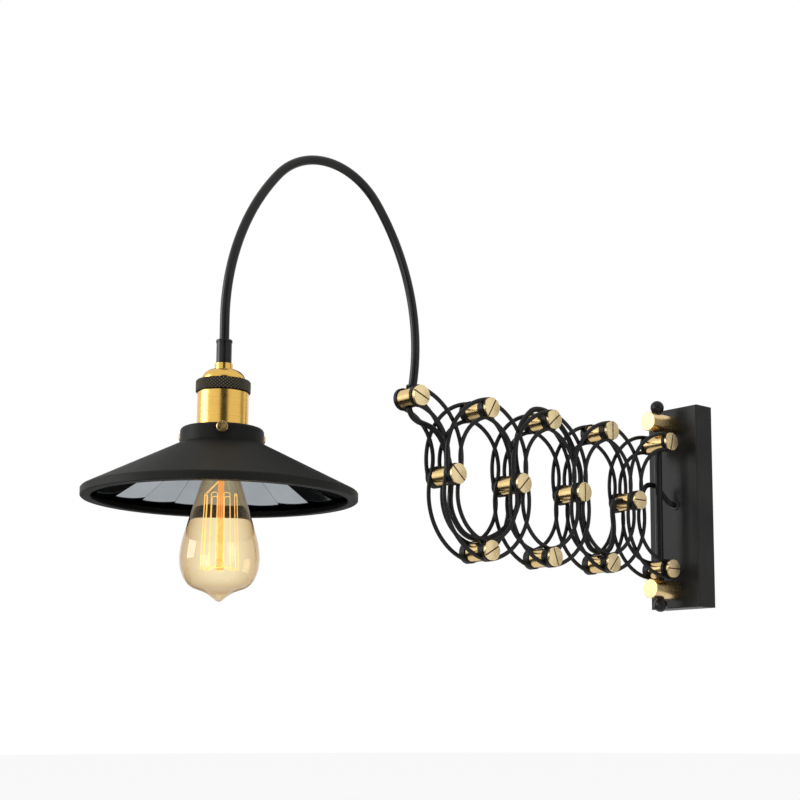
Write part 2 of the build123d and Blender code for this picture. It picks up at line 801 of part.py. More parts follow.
def mirror_panels():
    """Flat mirror strips laid side by side on the inside of the cone."""
    half_step = radians(180 / mirror_count)
    corners = []
    for corner_r in (mirror_inner_d / 2, shade_r - shade_wall - mirror_edge_gap):
        corners.append((corner_r, cone_z(corner_r) - wall_drop - mirror_bed))
    (near_r, near_z), (far_r, far_z) = corners
    near_x = near_r * cos(half_step)
    far_x = far_r * cos(half_step)
    length = hypot(far_x - near_x, far_z - near_z)
    near_half = near_r * sin(half_step) - mirror_gap / 2
    far_half = far_r * sin(half_step) - mirror_gap / 2
    slope = Vector(far_x - near_x, 0, far_z - near_z)
    plane = Plane((near_x, 0, near_z), x_dir=slope, z_dir=slope.cross(Vector(0, 1, 0)))
    outline = Polyline(
        [(0, -near_half), (length, -far_half), (length, far_half), (0, near_half)], close=True
    )
    panel = extrude(plane * make_face(outline), -mirror_thickness)
    if panel.center().Z > (near_z + far_z) / 2:
        panel = extrude(plane * make_face(outline), mirror_thickness)
    turns = [360 * step / mirror_count for step in range(mirror_count)]
    return group([on_lamp_axis(Rot(0, 0, turn) * panel) for turn in turns])


# ---------------------------------------------------------------- bulb

def bulb_cap():
    """Screw base: a thin can with a step up to the centre contact."""
    inner_r = base_r - bulb_base_wall
    tip_r = bulb_tip_d / 2
    return on_lamp_axis(turned([
        (inner_r, base_foot), (base_r, base_foot), (base_r, base_top - bulb_base_edge),
        (base_r - bulb_base_edge, base_top), (tip_r, bulb_tip_z - bulb_tip_rim), (tip_r - 1, bulb_tip_z),
        (0, bulb_tip_z), (0, base_top - bulb_base_wall),
        (inner_r, base_top - bulb_base_edge - bulb_base_wall),
    ]))


def bulb_outline(inset):
    """Half outline of the glass, drawn inwards by the inset: globe, tapered side and neck."""
    globe_r = bulb_d / 2 - inset
    centre_z = bulb_foot + bulb_nipple + bulb_d / 2
    taper = radians(bulb_taper)
    shoulder_centre = bulb_d / 2 - bulb_shoulder_radius
    shoulder_r = bulb_shoulder_radius - inset

    def on_shoulder(angle):
        return (shoulder_centre + shoulder_r * cos(angle), 0, centre_z + shoulder_r * sin(angle))

    side_start = on_shoulder(taper)
    neck_r = bulb_neck_d / 2 - inset
    neck_low = side_start[2] + (side_start[0] - neck_r - bulb_neck_flare) / tan(taper)
    side_end = (neck_r + bulb_neck_flare, 0, neck_low)
    neck_start = (neck_r, 0, neck_low + bulb_neck_blend)
    foot_z = bulb_foot + inset
    tip_edge = (bulb_nipple_foot, 0, centre_z - globe_r + 0.1)
    globe = ThreePointArc(
        tip_edge,
        (globe_r * sin(radians(50)), 0, centre_z - globe_r * cos(radians(50))),
        (globe_r, 0, centre_z),
    )
    outline = Polyline([(0, 0, foot_z), (bulb_nipple_r, 0, foot_z), tip_edge])
    outline += globe
    outline += ThreePointArc((globe_r, 0, centre_z), on_shoulder(taper / 2), side_start)
    outline += Polyline([side_start, side_end, neck_start, (neck_r, 0, base_foot + bulb_seat)])
    return outline, neck_r


def bulb_glass_shell():
    """Blown glass: a round globe, a long taper and a neck cemented in the base, with a small tip."""
    outer, outer_r = bulb_outline(0)
    inner, inner_r = bulb_outline(bulb_glass)
    top = base_foot + bulb_seat
    rim_out = Line((outer_r, 0, top), (0, 0, top))
    rim_in = Line((inner_r, 0, top), (0, 0, top))
    axis_out = Line((0, 0, top), (0, 0, bulb_foot))
    axis_in = Line((0, 0, top), (0, 0, bulb_foot + bulb_glass))
    solid_out = revolve(make_face(outer + rim_out + axis_out), Axis.Z)
    solid_in = revolve(make_face(inner + rim_in + axis_in), Axis.Z)
    return on_lamp_axis(solid_out - solid_in)


stem_top = base_foot + stem_seat
cage_top = base_foot - cage_top_drop
cage_foot = cage_top - cage_height
stem_foot = cage_foot - wire_d


def bulb_stem():
    """Glass stem on the bulb's axis: a flare at the neck, a thin rod and a button at its end."""
    flare_r = stem_flare_d / 2
    rod_r = stem_d / 2
    button_r = rod_r + stem_button
    return on_lamp_axis(turned([
        (0, stem_top), (flare_r, stem_top), (flare_r - 2, stem_top - stem_flare_length / 4),
        (rod_r, stem_top - stem_flare_length), (rod_r, stem_foot + 2 * stem_d),
        (button_r, stem_foot + stem_d),
        (button_r, stem_foot + 1), (button_r - 1, stem_foot), (0, stem_foot),
    ]))


def wire(start, end):
    """A straight piece of wire."""
    run = Vector(*end) - Vector(*start)
    return extrude(Plane(start, z_dir=run) * Circle(wire_d / 2), run.length)


def filament():
    """One long wire bent up and down round a cage, two leads to its ends and supports at its foot."""
    top_r = cage_top_d / 2
    foot_r = cage_foot_d / 2
    corners = []
    for step in range(cage_count):
        turn = radians(360 * step / cage_count)
        top = (top_r * cos(turn), top_r * sin(turn), 0)
        foot = (foot_r * cos(turn), foot_r * sin(turn), -cage_height)
        corners += [top, foot] if step % 2 == 0 else [foot, top]
    wires = [swept(FilletPolyline(*corners, radius=wire_bend), Circle(wire_d / 2))]
    inner = stem_d / 2 + wire_gap
    lead_end = top_r - wire_d - wire_gap
    for turn in (0, -radians(360 / cage_count)):
        start = (inner * cos(turn), inner * sin(turn), cage_top_drop / 3)
        wires.append(wire(start, (lead_end * cos(turn), lead_end * sin(turn), wire_gap)))
    hub_r = stem_d / 2 + stem_button + wire_gap
    reach = foot_r * cos(radians(180 / cage_count)) - wire_d - wire_gap
    for step in range(0, cage_count, 2):
        turn = radians(360 * (step + 0.5) / cage_count)
        start = (hub_r * cos(turn), hub_r * sin(turn), stem_d / 2 - cage_height)
        wires.append(wire(start, (reach * cos(turn), reach * sin(turn), -cage_height)))
    return group([Pos(lamp_x, 0, cage_top) * piece for piece in wires])


# ---------------------------------------------------------------- cord

def cord_tube(name, points):
    """Cord along a hand-set route: straight runs joined by arcs as large as the runs allow."""
    vectors = [Vector(*point) for point in points]
    radii = []
    for before, corner, after in zip(vectors, vectors[1:], vectors[2:]):
        first = corner - before
        second = after - corner
        turn = radians(first.get_angle(second))
        radii.append(0.45 * min(first.length, second.length) / tan(turn / 2))
    path = FilletPolyline(*points, radius=radii)
    cord = swept(path, Circle(cord_d / 2))
    print(name, "radii", [round(radius, 1) for radius in radii], "length", round(path.length, 1))
    plain_volume = path.length * pi * cord_d ** 2 / 4
    print(name, "volume over section times length", round(cord.volume / plain_volume, 4))
    save(cord, name)


cord_reach = barrel_d / 2 + cord_d / 2 + cord_lift


def beside(name, across, up, forward=0):
    """A point of the cord's route, measured from a pivot."""
    x, z = pivot_place(name)
    return (x + across, forward, z + up)


def cord_head():
    """The cord inside the tube, from under the head barrel to the lampholder."""
    foot = bulb_tip_z + contact_stack + insert_floor + running_clearance
    exit_x, _, exit_z = along_lean(-barrel_d / 2)
    save(swept(tube_path((exit_x, exit_z), foot), Circle(cord_d / 2)), "cord_head")


def cord_routes():
    """The cord's visible stretches, one for each link that it runs along."""
    cord_tube("cord_b1", [
        along_lean(-barrel_d / 2 - 0.6),
        beside("t0", 2.4, -17.2), beside("t0", -6.0, -22.0), beside("t0", -18.0, -23.0, -1.5),
        beside("t0", -29.5, -24.5, -3.5), beside("t0", -40.0, -31.5, -5.5),
        beside("t0", -49.0, -44.0, -6.2), beside("m1", -cord_reach - 0.6, 6.0, -6.2),
        beside("m1", -cord_reach - 0.4, -11.5, -6.2), beside("m1", -15.5, -25.0, -5.5),
        beside("b1", 23.0, 28.0, -3.0), beside("b1", 17.5, 18.0, -1.0),
        beside("b1", 9.0, cord_reach), beside("b1", 0.2, cord_reach),
    ])
    cord_tube("cord_a2", [
        beside("b1", -0.2, cord_reach), beside("b1", -10.0, cord_reach),
        beside("b1", -25.0, 18.5), beside("b1", -42.0, 31.0), beside("b1", -52.0, 48.0),
        beside("m2", -cord_reach - 1.0, 2.0), beside("m2", -7.0, 21.0), beside("m2", -6.0, 40.0),
        beside("t2", 27.5, -5.0), beside("t2", 17.5, 6.0), beside("t2", 9.0, cord_reach),
        beside("t2", 0.2, cord_reach),
    ])
    cord_tube("cord_b3", [
        beside("t2", -0.2, cord_reach), beside("t2", -9.5, cord_reach),
        beside("t2", -23.0, 4.0), beside("t2", -37.0, -8.0), beside("t2", -48.0, -25.0),
        beside("m3", -15.0, 25.0), beside("m3", -cord_reach - 1.2, 2.0), beside("m3", -13.0, -18.0),
        beside("m3", -17.5, -34.5), beside("b3", 17.5, 18.5), beside("b3", 9.0, cord_reach),
        beside("b3", 0.2, cord_reach),
    ])
    cord_tube("cord_a4", [
        beside("b3", -0.2, cord_reach), beside("b3", -8.5, cord_reach),
        beside("b3", -16.5, 18.0), beside("b3", -20.5, 28.5), beside("m4", 21.0, -25.0),
        beside("m4", 22.5, -15.5), beside("m4", 22.5, -6.5), beside("m4", 16.0, 0.0),
        beside("m4", -9.4, 0.0),
    ])
    cord_tube("cord_wall", [
        beside("m4", -barrel_d / 2 - 0.5, 0.0),
        (rod_x + 32.5, -0.5, middle_z + 0.6),
        (rod_x + 25.0, -2.4, middle_z + 8.0),
        (rod_x + 18.0, -5.4, middle_z + 18.0),
        (rod_x + 7.5, -7.7, middle_z + 24.0),
        (rod_x - 4.0, -7.7, middle_z + 23.0),
        (rod_x - 11.0, -5.2, middle_z + 15.5),
        (rod_x - 14.5, -1.4, middle_z + 8.0),
        (plate_depth + bush_flange + 4.4, bush_y, bush_z),
        (bracket_thickness + block_depth + 0.1, bush_y, bush_z),
    ])


# ---------------------------------------------------------------- every piece, from the wall outwards

os.makedirs("parts", exist_ok=True)

save(wall_plate(), "wall_plate")
save(wall_bracket(), "wall_bracket")
save(plate_screws(), "plate_screws")
save(posts(), "posts")
save(guide_rod(), "guide_rod")
save(rod_finials(), "rod_finials")
save(cord_grommet(), "cord_grommet")
save(terminal_block(), "terminal_block")

save(slider("b4", barrel_half_length), "lower_slider")
save(pivot_screw("b4", head_seat, barrel_half_length), "lower_pivot_screw")
save(lower_cap_screw(), "lower_cap_screw")
save(slider("t4", inner_layer_end), "upper_slider")
save(pivot_screw("t4", head_seat, inner_layer_end), "upper_pivot_screw")
save(cap_screw("t4", head_seat, inner_layer_end), "upper_cap_screw")

save(link(["t4", "m4", "b3"], 1, outer_layer), "link_a4")
save(link(["t3", "m3", "b2"], 1, outer_layer), "link_a3")
save(link(["t2", "m2", "b1"], 1, outer_layer), "link_a2")
save(link(["t1", "m1"], 1, outer_layer), "link_a1")
save(link(["b4", "m4", "t3"], -1, inner_layer), "link_b4")
save(link(["b3", "m3", "t2"], -1, inner_layer), "link_b3")
save(link(["b2", "m2", "t1"], -1, inner_layer), "link_b2")
save(link(["b1", "m1", "t0"], -1, inner_layer), "link_b1")

save_arm_column(4, ["m4", "b3"])
save_arm_column(3, ["t3", "m3", "b2"])
save_arm_column(2, ["t2", "m2", "b1"])
save_arm_column(1, ["t1", "m1"])

save(head_barrel(), "head_barrel")
save(pivot_screw("t0", outer_layer, barrel_half_length), "head_pivot_screw")
save(cap_screw("t0", outer_layer, barrel_half_length), "head_cap_screw")
save(gooseneck(), "gooseneck")
save(tube_ferrules(), "tube_ferrules")
save(socket_cap(), "socket_cap")
save(knurled_ring(), "knurled_ring")
save(socket_shell(), "socket_shell")
save(socket_insert(), "socket_insert")
save(holder_contacts(), "holder_contacts")
save(shade_fitter(), "shade_fitter")
save(fitter_screws(), "fitter_screws")
save(fitter_nut(), "fitter_nut")
save(shade(), "shade")
save(mirror_panels(), "mirror_panels")
save(bulb_cap(), "bulb_cap")
save(bulb_glass_shell(), "bulb_glass")
save(bulb_stem(), "bulb_stem")
save(filament(), "filament")

cord_head()
cord_routes()
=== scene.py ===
import math

import bpy
from mathutils import Matrix, Vector


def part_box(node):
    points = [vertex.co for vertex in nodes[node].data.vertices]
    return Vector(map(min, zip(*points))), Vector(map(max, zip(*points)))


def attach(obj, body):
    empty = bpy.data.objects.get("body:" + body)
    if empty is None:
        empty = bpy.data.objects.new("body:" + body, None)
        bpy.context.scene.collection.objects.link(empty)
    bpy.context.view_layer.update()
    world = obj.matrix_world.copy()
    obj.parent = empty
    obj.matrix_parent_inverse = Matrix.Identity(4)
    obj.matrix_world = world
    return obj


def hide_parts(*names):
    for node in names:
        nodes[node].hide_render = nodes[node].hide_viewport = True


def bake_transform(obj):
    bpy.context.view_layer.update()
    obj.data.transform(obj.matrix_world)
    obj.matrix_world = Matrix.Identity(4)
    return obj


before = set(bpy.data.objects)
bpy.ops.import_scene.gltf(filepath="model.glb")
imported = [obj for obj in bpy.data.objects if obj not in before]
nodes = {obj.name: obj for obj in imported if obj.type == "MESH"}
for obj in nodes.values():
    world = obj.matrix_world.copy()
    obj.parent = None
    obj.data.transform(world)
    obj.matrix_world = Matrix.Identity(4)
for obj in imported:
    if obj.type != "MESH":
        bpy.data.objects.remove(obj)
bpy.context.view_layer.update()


# ---------------------------------------------------------------- studio
# The studio: a white room with a pale floor well below the lamp, lit by soft boxes, with dark cards
# that show only in the shine of the metal. The camera stands in front of the wall and a little
# below the arm, and looks slightly up at the lamp.

def select_only(thing):
    """Leaves one object selected and active."""
    bpy.ops.object.select_all(action="DESELECT")
    thing.select_set(True)
    bpy.context.view_layer.objects.active = thing


def new_node(tree, kind, inputs=None, **settings):
    """Adds a shader node; an input is given a value, or is wired to another node's output."""
    node = tree.nodes.new("ShaderNode" + kind)
    for name, value in settings.items():
        setattr(node, name, value)
    for name, value in (inputs or {}).items():
        if isinstance(value, bpy.types.NodeSocket):
            tree.links.new(value, node.inputs[name])
        else:
            node.inputs[name].default_value = value
    return node


def seen_rays(tree):
    """1 for camera, glossy and transmitted rays, 0 for light that falls on a surface."""
    rays = new_node(tree, "LightPath").outputs
    seen = rays["Is Camera Ray"]
    for kind in ("Is Glossy Ray", "Is Transmission Ray"):
        seen = new_node(tree, "Math", {0: seen, 1: rays[kind]}, operation="MAXIMUM").outputs[0]
    return seen


camera_turn = math.radians(42.25)
camera_rise = math.radians(7.46)
camera_place = Vector((1.2355, 0.9974, -0.2165))
focal_pixels = 1460.0
image_pixels = 800.0
sensor_width = 36.0

back = Vector((
    math.sin(camera_turn) * math.cos(camera_rise),
    math.cos(camera_turn) * math.cos(camera_rise),
    -math.sin(camera_rise),
))
right = Vector((-math.cos(camera_turn), math.sin(camera_turn), 0.0))
camera_axes = Matrix((right, back.cross(right), back)).transposed().to_4x4()
camera_data = bpy.data.cameras.new("camera")
camera_data.sensor_width = sensor_width
camera_data.lens = focal_pixels / image_pixels * sensor_width
camera_data.shift_x = -0.08
camera_data.shift_y = 0.15
camera = bpy.data.objects.new("camera", camera_data)
bpy.context.scene.collection.objects.link(camera)
camera.matrix_world = Matrix.Translation(camera_place) @ camera_axes
bpy.context.scene.camera = camera
bpy.context.scene.view_settings.view_transform = "Standard"

white = (1.0, 1.0, 1.0, 1.0)
room_level = 0.62
room = bpy.data.worlds.new("white_room")
room.use_nodes = True
bpy.context.scene.world = room
room_tree = room.node_tree
room_light = room_tree.nodes["Background"]
room_strength = new_node(
    room_tree, "MapRange", {"Value": seen_rays(room_tree), "To Min": room_level, "To Max": 1.0}
)
room_light.inputs["Color"].default_value = white
room_tree.links.new(room_strength.outputs[0], room_light.inputs["Strength"])

floor_place = (0.35, 0.0, -0.42)
floor_radius = 6.0
floor_glow_share = 0.86
bpy.ops.mesh.primitive_circle_add(vertices=64, radius=floor_radius, fill_type="NGON", location=floor_place)
floor = bpy.context.object
floor.name = "floor"
floor_finish = bpy.data.materials.new("pale_floor")
floor_finish.use_nodes = True
floor_tree = floor_finish.node_tree
floor_shader = floor_tree.nodes["Principled BSDF"]
floor_shader.inputs["Base Color"].default_value = (0.86, 0.86, 0.85, 1.0)
floor_shader.inputs["Roughness"].default_value = 0.9
floor_glow = new_node(floor_tree, "Emission", {"Color": white, "Strength": 1.0})
floor_share = new_node(
    floor_tree, "Math", {0: seen_rays(floor_tree), 1: floor_glow_share}, operation="MULTIPLY"
)
floor_mix = new_node(floor_tree, "MixShader", {0: floor_share.outputs[0]})
floor_tree.links.new(floor_shader.outputs[0], floor_mix.inputs[1])
floor_tree.links.new(floor_glow.outputs[0], floor_mix.inputs[2])
floor_tree.links.new(floor_mix.outputs[0], floor_tree.nodes["Material Output"].inputs["Surface"])
floor.data.materials.append(floor_finish)

for lamp_name, place, aim, width, height, power in (
    ("key_box", (1.85, -0.85, 0.45), (0.50, 0.0, 0.05), 0.8, 1.0, 15.0),
    ("side_box", (0.55, 1.65, 0.55), (0.35, 0.0, 0.05), 0.7, 1.2, 9.0),
    ("low_box", (1.55, 0.25, -0.25), (0.45, 0.0, 0.0), 0.5, 0.5, 2.5),
):
    light = bpy.data.lights.new(lamp_name, "AREA")
    light.shape = "RECTANGLE"
    light.size = width
    light.size_y = height
    light.energy = power
    box = bpy.data.objects.new(lamp_name, light)
    bpy.context.scene.collection.objects.link(box)
    box.location = place
    box.rotation_euler = (Vector(aim) - Vector(place)).to_track_quat("-Z", "Y").to_euler()
    box.visible_glossy = lamp_name != "side_box"

near_black = 0.012
mid_grey = 0.4
for card_name, place, aim, width, height, grey in (
    ("front_card", (1.75, 2.15, 0.1), (0.60, 0.0, 0.0), 1.45, 2.6, near_black),
    ("rear_low_card", (0.35, -1.15, -0.41), (0.35, -1.15, 1.0), 2.6, 1.3, near_black),
    ("rear_high_card", (-0.9, -1.5, 1.35), (0.5, 0.0, 0.0), 1.9, 1.2, near_black),
    ("side_card", (-0.75, 0.72, 0.05), (0.60, 0.0, 0.0), 0.5, 1.0, mid_grey),
):
    card_paper = bpy.data.materials.new(card_name)
    card_paper.use_nodes = True
    card_shader = card_paper.node_tree.nodes["Principled BSDF"]
    card_shader.inputs["Base Color"].default_value = (grey, grey, grey, 1.0)
    card_shader.inputs["Specular IOR Level"].default_value = 0.0
    bpy.ops.mesh.primitive_plane_add(size=1.0)
    card = bpy.context.object
    card.name = card_name
    aimed = (Vector(aim) - Vector(place)).to_track_quat("Z", "Y").to_matrix().to_4x4()
    card.data.transform(Matrix.Translation(place) @ aimed @ Matrix.Diagonal((width, height, 1.0, 1.0)))
    card.data.materials.append(card_paper)
    card.visible_camera = False
    card.visible_diffuse = False
    card.visible_shadow = False
    card.visible_transmission = False


# ---------------------------------------------------------------- wall plate
# The wall plate is a folded steel box, powder coated in satin black, that two screws through
# its top hold on the bracket's tabs. The coat has the faint orange peel of sprayed powder.

def new_group(name, inputs, outputs):
    """An empty shader node group with named float or vector sockets."""
    group = bpy.data.node_groups.new(name, "ShaderNodeTree")
    for socket_name, socket_type, start in inputs:
        socket = group.interface.new_socket(socket_name, in_out="INPUT", socket_type=socket_type)
        if start is not None:
            socket.default_value = start
    for socket_name in outputs:
        group.interface.new_socket(socket_name, in_out="OUTPUT", socket_type="NodeSocketFloat")
    return group, group.nodes.new("NodeGroupInput").outputs, group.nodes.new("NodeGroupOutput").inputs


grain_group, given, result = new_group(
    "surface_grain",
    (
        ("Place", "NodeSocketVector", None),
        ("Grain", "NodeSocketFloat", 900.0),
        ("Patches", "NodeSocketFloat", 30.0),
    ),
    ("Height", "Patches"),
)
fine = new_node(grain_group, "TexNoise", {"Vector": given["Place"], "Scale": given["Grain"], "Detail": 3.0})
broad = new_node(grain_group, "TexNoise", {
    "Vector": given["Place"], "Scale": given["Patches"], "Detail": 6.0, "Roughness": 0.62,
})
spread = new_node(grain_group, "MapRange", {"Value": broad.outputs[0], "From Min": 0.36, "From Max": 0.64})
grain_group.links.new(fine.outputs[0], result["Height"])
grain_group.links.new(spread.outputs[0], result["Patches"])


# Sockets of a colour mix node by number, because their names repeat.
mix_first, mix_second, mixed = 6, 7, 2


class Finish:
    """A material with its shader, its object coordinates and short ways to vary them."""

    def __init__(self, name, colour, roughness, metallic=0.0):
        self.material = bpy.data.materials.new(name)
        self.material.use_nodes = True
        self.tree = self.material.node_tree
        self.shader = self.tree.nodes["Principled BSDF"]
        self.shader.inputs["Base Color"].default_value = (*colour, 1.0)
        self.shader.inputs["Roughness"].default_value = roughness
        self.shader.inputs["Metallic"].default_value = metallic
        self.place = new_node(self.tree, "TexCoord").outputs["Object"]

    def node(self, kind, inputs=None, **settings):
        """Adds a node to this material."""
        return new_node(self.tree, kind, inputs, **settings)

    def group(self, group, inputs):
        """Places a node group and gives its outputs."""
        node = self.tree.nodes.new("ShaderNodeGroup")
        node.node_tree = group
        for name, value in inputs.items():
            if isinstance(value, bpy.types.NodeSocket):
                self.tree.links.new(value, node.inputs[name])
            else:
                node.inputs[name].default_value = value
        return node.outputs

    def grain(self, grain, patches):
        """Fine grain and broad patches, each as a count per metre."""
        return self.group(grain_group, {"Place": self.place, "Grain": grain, "Patches": patches})

    def vary_roughness(self, mask, low, high):
        """Spreads the roughness between two values by a mask."""
        spread = self.node("MapRange", {"Value": mask, "To Min": low, "To Max": high})
        self.tree.links.new(spread.outputs[0], self.shader.inputs["Roughness"])

    def vary_colour(self, mask, first, second):
        """Spreads the colour between two tones by a mask."""
        mix = self.node(
            "Mix", {0: mask, mix_first: (*first, 1.0), mix_second: (*second, 1.0)}, data_type="RGBA"
        )
        self.tree.links.new(mix.outputs[mixed], self.shader.inputs["Base Color"])

    def bump(self, height, strength, distance):
        """Raises the surface by a height mask, over a distance in metres."""
        bump = self.node("Bump", {"Height": height, "Strength": strength, "Distance": distance})
        self.tree.links.new(bump.outputs[0], self.shader.inputs["Normal"])


def dress(material, *names):
    """Gives CAD nodes a finish."""
    for name in names:
        nodes[name].material_slots[0].material = material


powder_black = Finish("powder_coat_black", (0.010, 0.010, 0.010), 0.42)
powder_black.shader.inputs["Specular IOR Level"].default_value = 0.22
powder = powder_black.grain(grain=1500.0, patches=22.0)
powder_black.vary_roughness(powder["Patches"], 0.36, 0.46)
powder_black.vary_colour(powder["Patches"], (0.007, 0.007, 0.007), (0.013, 0.013, 0.012))
powder_black.bump(powder["Height"], 0.16, 0.00025)
dress(powder_black.material, "wall_plate")


# ---------------------------------------------------------------- wall bracket, screws and terminals
# Behind the plate: a zinc-plated steel strip with bent tabs, plain slotted machine screws and
# the moulded block where the lead meets the supply. They only show from behind.

zinc = Finish("zinc_plate", (0.60, 0.61, 0.63), 0.36, metallic=1.0)
spangle = zinc.grain(grain=420.0, patches=120.0)
zinc.vary_roughness(spangle["Patches"], 0.28, 0.45)
zinc.vary_colour(spangle["Patches"], (0.52, 0.54, 0.57), (0.68, 0.68, 0.66))
zinc.bump(spangle["Height"], 0.12, 0.0002)
dress(zinc.material, "wall_bracket", "plate_screws", "fitter_nut")

cream_moulding = Finish("cream_moulding", (0.78, 0.76, 0.70), 0.42)
mould_skin = cream_moulding.grain(grain=2200.0, patches=60.0)
cream_moulding.vary_roughness(mould_skin["Patches"], 0.36, 0.5)
cream_moulding.bump(mould_skin["Height"], 0.1, 0.0001)
dress(cream_moulding.material, "terminal_block")


# ---------------------------------------------------------------- posts and guide rod
# Two posts turned from brass bar stand on the plate, with lathe rings on their end faces. A
# black steel rod passes through both and ends in two small screwed balls.

mm = 0.001
lathe_group, given, result = new_group(
    "lathe_lines",
    (
        ("Position", "NodeSocketFloat", 0.0),
        ("Lines", "NodeSocketFloat", 4000.0),
        ("Place", "NodeSocketVector", None),
    ),
    ("Height", "Streaks", "Patches"),
)
streaks_per_line = 0.23
turns = new_node(lathe_group, "Math", {0: given["Position"], 1: given["Lines"]}, operation="MULTIPLY")
line = new_node(
    lathe_group, "TexNoise", {"W": turns.outputs[0], "Scale": 1.0, "Detail": 2.0}, noise_dimensions="1D"
)
slow_turns = new_node(lathe_group, "Math", {0: turns.outputs[0], 1: streaks_per_line}, operation="MULTIPLY")
streak = new_node(
    lathe_group, "TexNoise", {"W": slow_turns.outputs[0], "Scale": 1.0, "Detail": 4.0}, noise_dimensions="1D"
)
streak_spread = new_node(lathe_group, "MapRange", {
    "Value": streak.outputs[0], "From Min": 0.3, "From Max": 0.7,
})
haze = new_node(lathe_group, "TexNoise", {
    "Vector": given["Place"], "Scale": 90.0, "Detail": 5.0, "Roughness": 0.6,
})
haze_spread = new_node(lathe_group, "MapRange", {
    "Value": haze.outputs[0], "From Min": 0.35, "From Max": 0.65,
})
lathe_group.links.new(line.outputs[0], result["Height"])
lathe_group.links.new(streak_spread.outputs[0], result["Streaks"])
lathe_group.links.new(haze_spread.outputs[0], result["Patches"])

posts_low, posts_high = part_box("posts")
post_bar_radius = 10.0 * mm
post_axis_height = (posts_high[2] - posts_low[2]) / 2 - post_bar_radius
post_brass = Finish("turned_brass_posts", (0.72, 0.50, 0.22), 0.3, metallic=1.0)
post_split = post_brass.node("SeparateXYZ", {0: post_brass.place})
post_up = post_brass.node("Math", {0: post_split.outputs[2]}, operation="ABSOLUTE")
post_off = post_brass.node("Math", {0: post_up.outputs[0], 1: post_axis_height}, operation="SUBTRACT")
post_flat = post_brass.node("CombineXYZ", {0: post_split.outputs[1], 1: post_off.outputs[0]})
post_radius = post_brass.node("VectorMath", {0: post_flat.outputs[0]}, operation="LENGTH")
post_along = post_brass.node(
    "Math", {0: post_radius.outputs["Value"], 1: post_split.outputs[0]}, operation="ADD"
)
post_lines = post_brass.group(
    lathe_group, {"Position": post_along.outputs[0], "Lines": 5200.0, "Place": post_brass.place}
)
post_brass.vary_colour(post_lines["Streaks"], (0.64, 0.44, 0.20), (0.80, 0.60, 0.32))
post_brass.vary_roughness(post_lines["Patches"], 0.24, 0.3)
post_brass.bump(post_lines["Height"], 0.12, 0.00008)
dress(post_brass.material, "posts")

rod_black = Finish("satin_black_rod", (0.006, 0.006, 0.006), 0.3)
rod_black.shader.inputs["IOR"].default_value = 1.3
rod_skin = rod_black.grain(grain=1100.0, patches=45.0)
rod_black.vary_roughness(rod_skin["Patches"], 0.26, 0.38)
rod_black.vary_colour(rod_skin["Patches"], (0.004, 0.004, 0.004), (0.008, 0.008, 0.008))
rod_black.bump(rod_skin["Height"], 0.1, 0.00015)
dress(rod_black.material, "guide_rod", "rod_finials")


# ---------------------------------------------------------------- links
# The lazy-tongs links are S-shaped and doubled: two thin black rods between flat round eyes,
# in front of the barrels and behind them. They are welded and then enamelled satin black, and
# so are the caps that the pivot screws end in at the rear.

columns = (1, 2, 3, 4)
link_names = [f"link_{side}{column}" for side in "ab" for column in columns]
dress(rod_black.material, *link_names)
cap_names = [f"cap_screws_a{column}" for column in columns]
dress(rod_black.material, "lower_cap_screw", "upper_cap_screw", "head_cap_screw", *cap_names)


# ---------------------------------------------------------------- barrels and sliders
# The spacer barrels are turned brass, polished and lacquered, with small chamfers and the fine
# marks of the lathe round them. The two at the wall slide on the rod; the last holds the tube.

barrel_brass = Finish("polished_brass_barrels", (0.74, 0.52, 0.22), 0.2, metallic=1.0)
barrel_along = barrel_brass.node("SeparateXYZ", {0: barrel_brass.place})
barrel_lines = barrel_brass.group(
    lathe_group, {"Position": barrel_along.outputs[1], "Lines": 7000.0, "Place": barrel_brass.place}
)
barrel_brass.vary_colour(barrel_lines["Streaks"], (0.66, 0.45, 0.18), (0.82, 0.61, 0.30))
barrel_brass.vary_roughness(barrel_lines["Patches"], 0.16, 0.21)
barrel_brass.bump(barrel_lines["Height"], 0.03, 0.00004)
barrel_names = [f"barrels_a{column}" for column in columns]
dress(barrel_brass.material, "lower_slider", "upper_slider", "head_barrel", *barrel_names)


# ---------------------------------------------------------------- slotted pivot screws
# Each pivot has a brass shoulder screw at the front: a flat satin face with lathe rings, a
# softened rim and a milled slot that stopped wherever the screw came tight.

head_radius = 9.5 * mm
head_thickness = 3.3 * mm
rim_softness = 0.55 * mm
shank_radius = 3.0 * mm
slot_half_width = 0.7 * mm
slot_depth = 1.3 * mm
outer_seat = 16.4 * mm
head_joint_seat = 12.8 * mm
barrel_end = 9.0 * mm
# Width and depth of the rings turned in the face, from the rim inwards.
face_rings = (
    (1.5 * mm, 0.05 * mm), (0.25 * mm, -0.05 * mm), (3.6 * mm, 0.03 * mm), (0.2 * mm, -0.03 * mm),
)
tolerance = 0.01 * mm
# Pivots in millimetres: the height of each row, the one on the rod, the last one and the step.
pivot_rows = {"b": -68.5, "m": -1.0, "t": 66.5}
rod_pivot = 50.0
last_pivot = 395.0
pitch = 84.0


def pivot_place(name):
    """X and Z of a pivot, named by its row and its column: t0 is the last, b4 and t4 are on the rod."""
    row, column = name[0], int(name[1])
    if row == "m":
        return last_pivot - pitch * (column - 0.5), pivot_rows[row]
    return (rod_pivot if column == 4 else last_pivot - pitch * column), pivot_rows[row]


def select_where(mesh, kind, test):
    """In edit mode: selects only the faces, edges or vertices that pass the test."""
    bpy.ops.mesh.select_all(action="DESELECT")
    bpy.ops.object.mode_set(mode="OBJECT")
    for part in getattr(mesh, kind):
        part.select = test(part)
    bpy.ops.object.mode_set(mode="EDIT")


